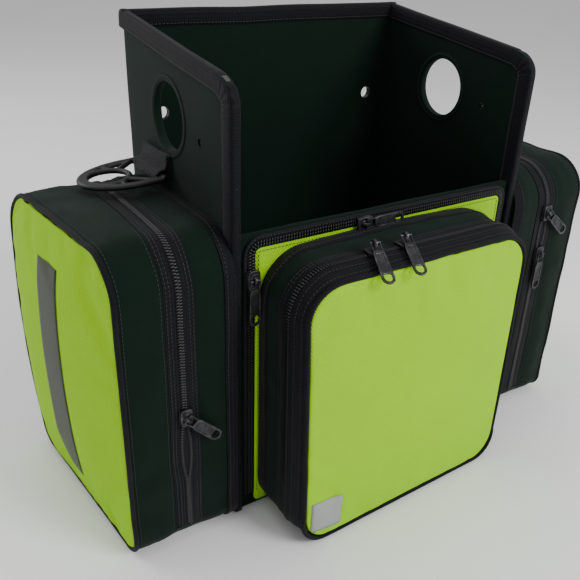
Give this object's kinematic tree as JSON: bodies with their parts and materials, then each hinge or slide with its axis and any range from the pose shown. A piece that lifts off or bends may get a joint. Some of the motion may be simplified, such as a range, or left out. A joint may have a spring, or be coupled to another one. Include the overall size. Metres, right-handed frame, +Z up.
{
  "type": "medical monitor carry case",
  "caption": "Open-top stiffened fabric carry case for a portable medical monitor, with zipped pouches on three sides and a carry ring on each wing.",
  "frame": {"origin": "on the floor, below the middle of the object's box", "axes": "+Z up, the rear panel at +Y, the front pocket facing -Y, +X to the right seen from the front"},
  "size_m": [0.4874, 0.2547, 0.378],
  "materials": {
    "green_nylon": "woven nylon, dark green",
    "lining": "coated nylon lining, dark green",
    "stiffener_board": "matte polyethylene board",
    "yellow_fabric": "coated high visibility polyester, yellow-green",
    "reflective_film": "plain silver-grey reflective fabric",
    "zip_metal": "dark painted zinc",
    "black_plastic": "moulded black plastic",
    "zip_tape": "black woven zip tape with coil",
    "black_webbing": "black woven tape"
  },
  "bodies": {
    "shell": {"shell_cover": "green_nylon", "shell_lining": "lining", "back_board": "stiffener_board", "left_wing_board": "stiffener_board", "right_wing_board": "stiffener_board", "shell_binding": "black_webbing", "left_hole_hem": "green_nylon", "right_hole_hem": "green_nylon", "base_cover": "green_nylon", "base_board": "stiffener_board", "front_wall_board": "stiffener_board", "front_wall_lining": "green_nylon", "flap_zip_wall_side": "zip_tape", "left_body": "green_nylon", "left_seam_binding": "black_webbing", "left_zip_body_side": "zip_tape", "right_body": "green_nylon", "right_seam_binding": "black_webbing", "right_zip_body_side": "zip_tape", "left_web_loop": "black_webbing", "right_web_loop": "black_webbing"},
    "front_flap": {"flap_panel": "yellow_fabric", "flap_zip_flap_side": "zip_tape", "front_body": "green_nylon", "front_seam_binding": "black_webbing", "front_zip_body_side": "zip_tape"},
    "front_lid": {"front_zip_lid_side": "zip_tape", "front_lid_face": "yellow_fabric", "front_piping": "black_webbing", "front_label": "reflective_film"},
    "left_lid": {"left_zip_lid_side": "zip_tape", "left_lid_gusset": "green_nylon", "left_lid_face": "yellow_fabric", "left_piping": "black_webbing", "left_reflective_strip": "reflective_film"},
    "right_lid": {"right_zip_lid_side": "zip_tape", "right_lid_gusset": "green_nylon", "right_lid_face": "yellow_fabric", "right_piping": "black_webbing", "right_reflective_strip": "reflective_film"},
    "left_ring": {"left_ring": "black_plastic"},
    "right_ring": {"right_ring": "black_plastic"},
    "front_slider_a": {"front_slider_a": "zip_metal"},
    "front_pull_a": {"front_pull_a": "zip_metal"},
    "front_slider_b": {"front_slider_b": "zip_metal"},
    "front_pull_b": {"front_pull_b": "zip_metal"},
    "flap_slider_side": {"flap_slider_side": "zip_metal"},
    "flap_pull_side": {"flap_pull_side": "zip_metal"},
    "flap_slider_top": {"flap_slider_top": "zip_metal"},
    "flap_pull_top": {"flap_pull_top": "zip_metal"},
    "left_slider": {"left_slider": "zip_metal"},
    "left_pull": {"left_pull": "zip_metal"},
    "right_slider_upper": {"right_slider_upper": "zip_metal"},
    "right_pull_upper": {"right_pull_upper": "zip_metal"},
    "right_slider_lower": {"right_slider_lower": "zip_metal"},
    "right_pull_lower": {"right_pull_lower": "zip_metal"}
  },
  "joints": [
    {"name": "front_flap_fold", "type": "hinge", "parent": "shell", "child": "front_flap", "pos_m": [0, -0.05752, 0.003], "axis": [1, 0, 0], "range_deg": [0, 30]},
    {"name": "front_lid_fold", "type": "hinge", "parent": "front_flap", "child": "front_lid", "pos_m": [0, -0.11392, 0.003], "axis": [1, 0, 0], "range_deg": [0, 90]},
    {"name": "right_lid_fold", "type": "hinge", "parent": "shell", "child": "right_lid", "pos_m": [0.22901, -0.06422, 0.003], "axis": [0.0784, 0.9969, 0], "range_deg": [0, 80]},
    {"name": "left_lid_fold", "type": "hinge", "parent": "shell", "child": "left_lid", "pos_m": [-0.22901, -0.06422, 0.003], "axis": [0.0784, -0.9969, 0], "range_deg": [0, 80]},
    {"name": "right_ring_swing", "type": "hinge", "parent": "shell", "child": "right_ring", "pos_m": [0.148, 0.06178, 0.266], "axis": [0, -1, 0], "range_deg": [0, 80]},
    {"name": "left_ring_swing", "type": "hinge", "parent": "shell", "child": "left_ring", "pos_m": [-0.148, 0.06178, 0.266], "axis": [0, 1, 0], "range_deg": [0, 80]},
    {"name": "front_slider_a_slide", "type": "slide", "parent": "front_lid", "child": "front_slider_a", "axis": [1, 0, 0], "range_m": [-0.025, 0.002]},
    {"name": "front_pull_a_swing", "type": "hinge", "parent": "front_slider_a", "child": "front_pull_a", "pos_m": [-0.046, -0.09717, 0.2412], "axis": [-0.9659, 0.2588, 0], "range_deg": [0, 120]},
    {"name": "front_slider_b_slide", "type": "slide", "parent": "front_lid", "child": "front_slider_b", "axis": [1, 0, 0], "range_m": [-0.002, 0.088]},
    {"name": "front_pull_b_swing", "type": "hinge", "parent": "front_slider_b", "child": "front_pull_b", "pos_m": [-0.017, -0.09717, 0.2412], "axis": [-0.9659, 0.2588, 0], "range_deg": [0, 120]},
    {"name": "flap_slider_side_slide", "type": "slide", "parent": "front_flap", "child": "flap_slider_side", "axis": [0, 0, 1], "range_m": [-0.15, 0]},
    {"name": "flap_pull_side_swing", "type": "hinge", "parent": "flap_slider_side", "child": "flap_pull_side", "pos_m": [-0.125, -0.06562, 0.216], "axis": [-1, 0, 0], "range_deg": [0, 150]},
    {"name": "flap_slider_top_slide", "type": "slide", "parent": "front_flap", "child": "flap_slider_top", "axis": [1, 0, 0], "range_m": [-0.06, 0.09]},
    {"name": "flap_pull_top_swing", "type": "hinge", "parent": "flap_slider_top", "child": "flap_pull_top", "pos_m": [-0.028, -0.06562, 0.241], "axis": [0, 0, -1], "range_deg": [0, 45]},
    {"name": "left_slider_slide", "type": "slide", "parent": "shell", "child": "left_slider", "axis": [0, 0, 1], "range_m": [-0.072, 0.088]},
    {"name": "left_pull_swing", "type": "hinge", "parent": "left_slider", "child": "left_pull", "pos_m": [-0.183, -0.06992, 0.121], "axis": [-0.7071, 0, -0.7071], "range_deg": [0, 150]},
    {"name": "right_slider_upper_slide", "type": "slide", "parent": "shell", "child": "right_slider_upper", "axis": [0, 0, 1], "range_m": [-0.01, 0.003]},
    {"name": "right_pull_upper_swing", "type": "hinge", "parent": "right_slider_upper", "child": "right_pull_upper", "pos_m": [0.183, -0.06992, 0.213], "axis": [-0.6428, 0, -0.766], "range_deg": [0, 150]},
    {"name": "right_slider_lower_slide", "type": "slide", "parent": "shell", "child": "right_slider_lower", "axis": [0, 0, 1], "range_m": [-0.1, 0.008]},
    {"name": "right_pull_lower_swing", "type": "hinge", "parent": "right_slider_lower", "child": "right_pull_lower", "pos_m": [0.183, -0.06992, 0.172], "axis": [-1, 0, 0], "range_deg": [0, 150]}
  ]
}
